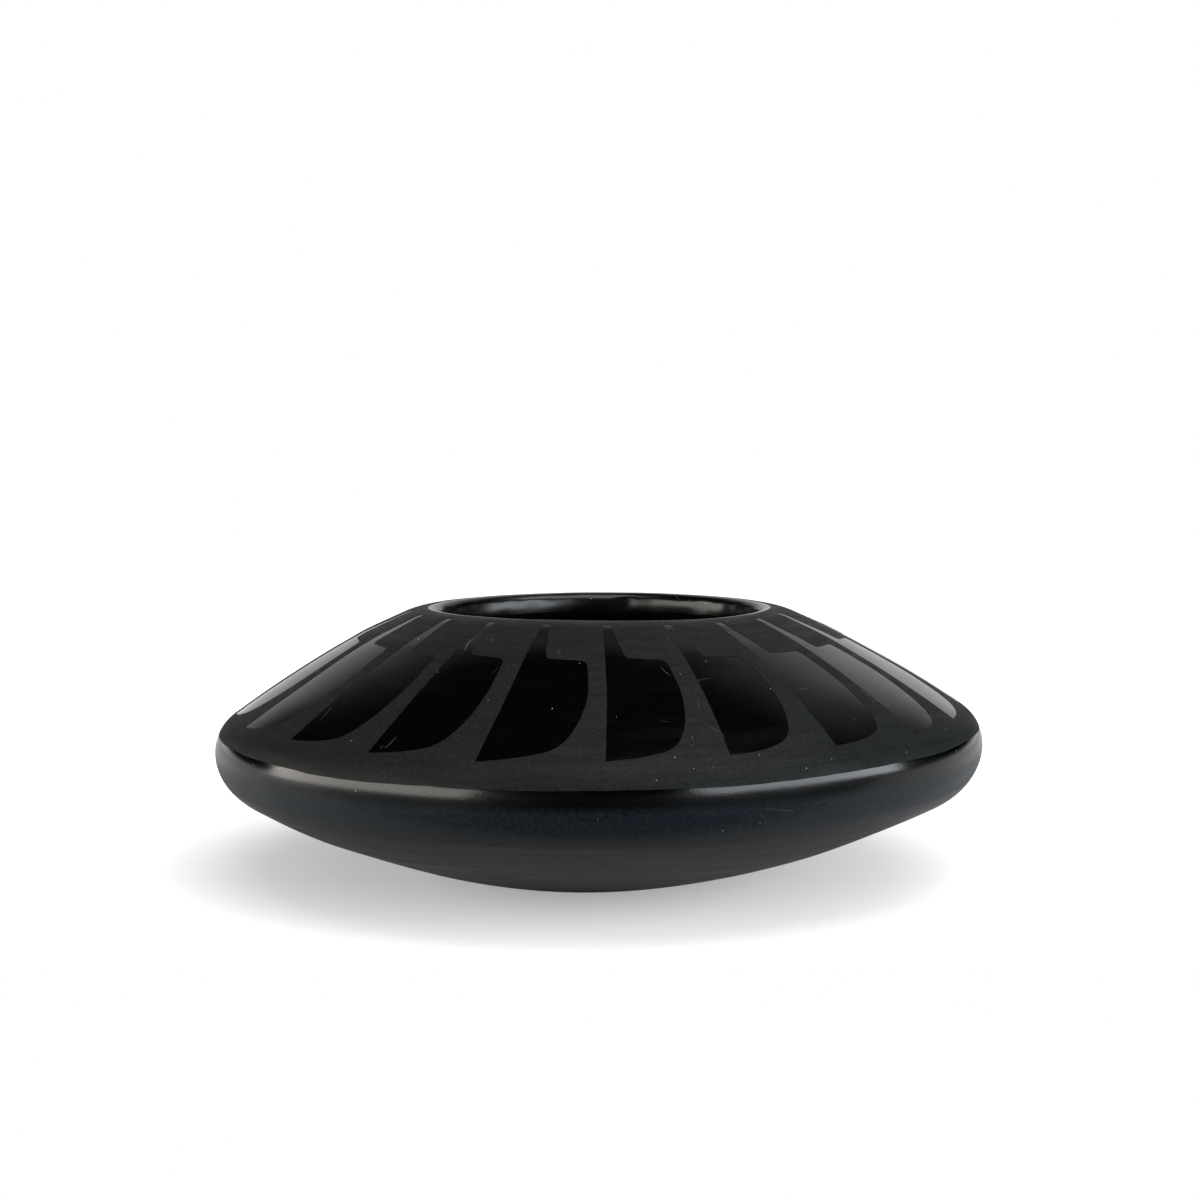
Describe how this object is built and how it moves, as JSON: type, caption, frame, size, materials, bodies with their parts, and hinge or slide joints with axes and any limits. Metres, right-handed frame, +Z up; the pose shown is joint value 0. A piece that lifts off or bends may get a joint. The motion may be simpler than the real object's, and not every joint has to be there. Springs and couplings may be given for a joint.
{
  "type": "pottery jar",
  "caption": "Low round black-on-black pottery jar with a sharp keel, a small mouth and a ring of feather shapes on its shoulder.",
  "frame": {"origin": "middle of the foot, on the surface that the jar stands on", "axes": "+Z up along the jar's axis, -Y towards the pictured front"},
  "size_m": [0.152, 0.152, 0.054],
  "materials": {
    "polished_clay": "stone-polished black slip, glossy",
    "matte_slip": "painted black slip, matte"
  },
  "bodies": {
    "root": {"base_pan": "polished_clay", "wall_coil": "polished_clay", "keel_coil": "polished_clay", "shoulder_coil": "polished_clay", "rim_coil": "polished_clay", "matte_slip": "matte_slip"}
  },
  "joints": []
}
